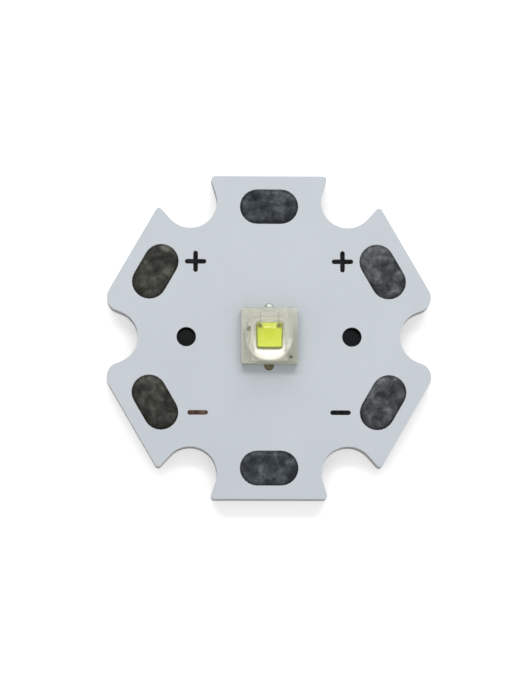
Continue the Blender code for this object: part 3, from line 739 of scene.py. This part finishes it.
def make_lens():
    """Film over the substrate and the dome that rises from it, moulded as one."""
    low, high = box("silicone_lens")
    half = high.x
    radius = half - LENS_MARGIN
    film = low.z + FILM_THICKNESS
    square = [(-half, -half), (half, -half), (half, half), (-half, half)]
    inner = [(x * (1 - FILM_EDGE / half), y * (1 - FILM_EDGE / half)) for x, y in square]
    levels = []
    for k in range(LENS_FILLET_STEPS):
        turn = math.pi / 2 * k / LENS_FILLET_STEPS
        levels.append((radius + LENS_FILLET * (1 - math.sin(turn)),
                       film + LENS_FILLET * (1 - math.cos(turn))))
    start = math.asin(LENS_FILLET / radius)
    for k in range(LENS_RINGS):
        turn = start + (math.pi / 2 - start) * k / LENS_RINGS
        levels.append((radius * math.cos(turn), film + radius * math.sin(turn)))
    shell = Shell()
    shell.cap([square], low.z)
    shell.wall(square, low.z, film - FILM_EDGE)
    shell.wall(square, film - FILM_EDGE, film, inner)
    shell.cap([inner, circle(levels[0][0], LENS_STEPS)], film)
    for (r0, z0), (r1, z1) in zip(levels, levels[1:]):
        shell.wall(circle(r0, LENS_STEPS), z0, z1, circle(r1, LENS_STEPS))
    shell.tip(circle(levels[-1][0], LENS_STEPS), levels[-1][1], film + radius)
    shell.weld()
    add_piece("lens_moulding", shell.mesh("lens_moulding"), silicone_look(), "silicone", "silicone_lens")


def make_wires():
    """Three bond wires, each from a flattened ball over a loop to its foot."""
    look = gold_look()
    for name, start in (("bond_wire_left", "led_die"), ("bond_wire_right", "led_die"),
                        ("esd_wire", "esd_diode")):
        low, high = box(name)
        x = (low.x + high.x) / 2
        upward = name != "esd_wire"
        ball_y = low.y + BALL_RADIUS if upward else high.y - BALL_RADIUS
        foot_y = high.y if upward else low.y
        base = box(start)[1].z
        foot_z = low.z + WIRE_RADIUS
        landing_y = foot_y - math.copysign(WIRE_LANDING, foot_y - ball_y)
        crest = high.z - WIRE_RADIUS
        points = [(ball_y, base + height, width) for height, width in BALL_PROFILE]
        neck = base + BALL_PROFILE[-1][0] + WIRE_RADIUS
        middle = (neck + foot_z) / 2
        for k in range(1, WIRE_STEPS + 1):
            share = k / WIRE_STEPS
            level = neck * (1 - share) + foot_z * share
            rise = 4 * (crest - middle) * share * (1 - share)
            points.append((ball_y + (landing_y - ball_y) * share, level + rise, 1.0))
        points.append((foot_y, foot_z, 1.0))
        curve = bpy.data.curves.new(name + "_gold", "CURVE")
        curve.dimensions = "3D"
        curve.bevel_depth = WIRE_RADIUS * MM
        curve.bevel_resolution = WIRE_ROUNDNESS
        curve.use_fill_caps = True
        spline = curve.splines.new("POLY")
        spline.points.add(len(points) - 1)
        for point, (y, z, width) in zip(spline.points, points):
            point.co = (x * MM, y * MM, z * MM, 1.0)
            point.radius = width
        add_piece(name + "_gold", curve, look, "gold", name)


def make_board():
    """Base, layers and lacquer of the board."""
    rounded("aluminium_base", "base_plate", BASE_EDGE, aluminium_look(), "aluminium")
    finish_node("dielectric_layer", dielectric_look())
    copper = copper_look()
    for node in ("anode_copper", "thermal_copper", "cathode_copper"):
        finish_node(node, copper)
    rounded("solder_mask", "white_lacquer", MASK_EDGE, mask_look(), "solder_mask")


def soft_square(half, corner):
    """A square ring with round corners."""
    reach = half - corner
    quarter = math.pi / 2
    ring = []
    for k, (x, y) in enumerate(((1, 1), (-1, 1), (-1, -1), (1, -1))):
        ring += arc((x * reach, y * reach), corner, k * quarter, (k + 1) * quarter, COAT_CORNER_STEPS)
    return ring


def make_coat():
    """Phosphor over the die, thicker towards its foot, with openings over the bond pads."""
    low, high = box("phosphor_layer")
    die_top = box("led_die")[1].z
    opening = BOND_OPENING / 2
    openings = []
    for wire in ("bond_wire_left", "bond_wire_right"):
        wire_low, wire_high = box(wire)
        x, y = (wire_low.x + wire_high.x) / 2, wire_low.y + BALL_RADIUS
        openings.append([(x - opening, y - opening), (x + opening, y - opening),
                         (x + opening, y + opening), (x - opening, y + opening)])
    profile = [(COAT_FOOT, low.z), (COAT_SWELL, low.z + (high.z - low.z) * COAT_WAIST)]
    for k in range(COAT_EDGE_STEPS + 1):
        turn = math.pi / 2 * k / COAT_EDGE_STEPS
        profile.append((COAT_SWELL - COAT_EDGE * (1 - math.cos(turn)),
                        high.z - COAT_EDGE * (1 - math.sin(turn))))
    rings = [(soft_square(high.x + out, COAT_CORNER + out), z) for out, z in profile]
    shell = Shell()
    shell.cap([rings[0][0]], low.z)
    for (lower, z0), (upper, z1) in zip(rings, rings[1:]):
        shell.wall(lower, z0, z1, upper)
    shell.cap([rings[-1][0]] + openings, high.z)
    for ring in openings:
        shell.wall(ring, die_top, high.z)
        shell.cap([ring], die_top)
    shell.weld()
    mesh = shell.mesh("phosphor_coat")
    keep_flats(mesh)
    add_piece("phosphor_coat", mesh, phosphor_look(x, y), "phosphor", "phosphor_layer")


def make_package():
    """Ceramic, metal, die and coat of the LED."""
    rounded("ceramic_substrate", "ceramic_tile", CERAMIC_EDGE, ceramic_look(), "ceramic")
    metal = terminal_look()
    for node in ("anode_terminal", "cathode_terminal"):
        rounded(node, node + "_plate", TRACE_EDGE, metal, "terminal_metal")
    finish_node("thermal_terminal", metal)
    rounded("led_die", "die_chip", DIE_EDGE, die_look(), "die")
    make_coat()
    rounded("esd_diode", "diode_chip", DIE_EDGE, diode_look(), "diode")
    finish_node("polarity_mark", dot_look())


def make_world():
    """A broad fill from the camera's side, seen and mirrored as white but dark straight overhead."""
    world = bpy.data.worlds.new("studio")
    bpy.context.scene.world = world
    world.use_nodes = True
    background = world.node_tree.nodes["Background"]
    background.inputs["Color"].default_value = (1.0, 1.0, 1.0, 1.0)
    wiring = Wiring(world.node_tree)
    direction = wiring.nodes.new("ShaderNodeTexCoord").outputs["Generated"]
    mirrored = wiring.spread(wiring.part(direction, "Z"), 1.0, ZENITH_LEVEL, ZENITH_EDGE, ZENITH_START)
    towards = wiring.nodes.new("ShaderNodeVectorMath")
    towards.operation = "DOT_PRODUCT"
    towards.inputs[1].default_value = (0.0, -math.sin(FILL_TILT), math.cos(FILL_TILT))
    wiring.links.new(direction, towards.inputs[0])
    fill = wiring.spread(towards.outputs["Value"], FILL_LOW, FILL_HIGH, FILL_START, 1.0)
    gain = wiring.math("MULTIPLY", wiring.math("SUBTRACT", mirrored, fill), wiring.seen())
    wiring.links.new(wiring.math("ADD", fill, gain), background.inputs["Strength"])


def softbox(name, elevation, width, height, level):
    """An area light beyond the top pad whose level is what it adds on a level surface."""
    direction = Vector((0.0, math.cos(elevation), math.sin(elevation)))
    data = bpy.data.lights.new(name, "AREA")
    data.shape = "RECTANGLE"
    data.size, data.size_y = width * MM, height * MM
    data.energy = level * math.pi ** 2 * (LIGHT_DISTANCE * MM) ** 2 / math.sin(elevation)
    lamp = bpy.data.objects.new(name, data)
    lamp.location = direction * LIGHT_DISTANCE * MM
    lamp.rotation_mode = "QUATERNION"
    lamp.rotation_quaternion = direction.to_track_quat("Z", "Y")
    bpy.context.scene.collection.objects.link(lamp)


def make_floor():
    """A wide pale floor under the board, which keeps its shadow, with a painted shadow darkening it under
    the board's middle.
    """
    shell = Shell()
    shell.cap([circle(FLOOR_RADIUS, FLOOR_STEPS)], -FLOOR_DROP)
    floor = bpy.data.objects.new("floor", shell.mesh("floor"))
    bpy.context.scene.collection.objects.link(floor)
    surface = bpy.data.materials.new("floor")
    surface.use_nodes = True
    shader = surface.node_tree.nodes["Principled BSDF"]
    shader.inputs["Roughness"].default_value = FLOOR_ROUGHNESS
    shader.inputs["Specular IOR Level"].default_value = 0.0
    shader.inputs["Emission Color"].default_value = (1.0, 1.0, 1.0, 1.0)
    wiring = Wiring(surface.node_tree)
    distance = wiring.length(wiring.nodes.new("ShaderNodeTexCoord").outputs["Object"])
    glow = wiring.spread(distance, 0.0, FLOOR_GLOW, GLOW_START * MM, GLOW_FULL * MM)
    wiring.links.new(wiring.math("MULTIPLY", glow, wiring.seen()), shader.inputs["Emission Strength"])
    outside = wiring.spread(distance, 0.0, 1.0, GLOW_START * MM, GLOW_FULL * MM)
    below = wiring.nodes.new("ShaderNodeNewGeometry").outputs["Backfacing"]
    pale = wiring.math("MAXIMUM", outside, below)
    # Painted shadow: the floor's upper side is painted dark within the board's middle, as the shade under
    # the board
    wiring.links.new(wiring.tint(pale, FLOOR_PAINTED_SHADOW, FLOOR_COLOUR), shader.inputs["Base Color"])
    floor.data.materials.append(surface)


def make_camera():
    """Looks almost straight down, from a little towards the bottom pad."""
    data = bpy.data.cameras.new("camera")
    data.sensor_width = SENSOR
    data.lens = PIXELS_PER_MM * CAMERA_DISTANCE * SENSOR / max(IMAGE_SIZE)
    data.clip_start = CLIP_START
    data.clip_end = CLIP_END
    aim = Vector(((IMAGE_SIZE[0] / 2 - BOARD_PIXEL[0]) / PIXELS_PER_MM,
                  (BOARD_PIXEL[1] - IMAGE_SIZE[1] / 2) / PIXELS_PER_MM, box("solder_mask")[1].z))
    back = Vector((math.tan(CAMERA_LEAN), -math.tan(CAMERA_TILT), 1.0)).normalized()
    right = Vector((0.0, 1.0, 0.0)).cross(back).normalized()
    camera = bpy.data.objects.new("camera", data)
    camera.matrix_world = Matrix.LocRotScale(
        (aim + back * CAMERA_DISTANCE) * MM,
        Matrix((right, back.cross(right), back)).transposed().to_quaternion(), None)
    bpy.context.scene.collection.objects.link(camera)
    bpy.context.scene.camera = camera


def main():
    """Dresses the frame and sets up the studio."""
    make_camera()
    make_board()
    make_pads()
    make_marks()
    make_joints()
    make_package()
    make_wires()
    make_lens()
    make_world()
    make_floor()
    for name, (elevation, width, height, level) in SOFTBOXES.items():
        softbox(name, elevation, width, height, level)
    bpy.context.scene.view_settings.view_transform = "Standard"


main()
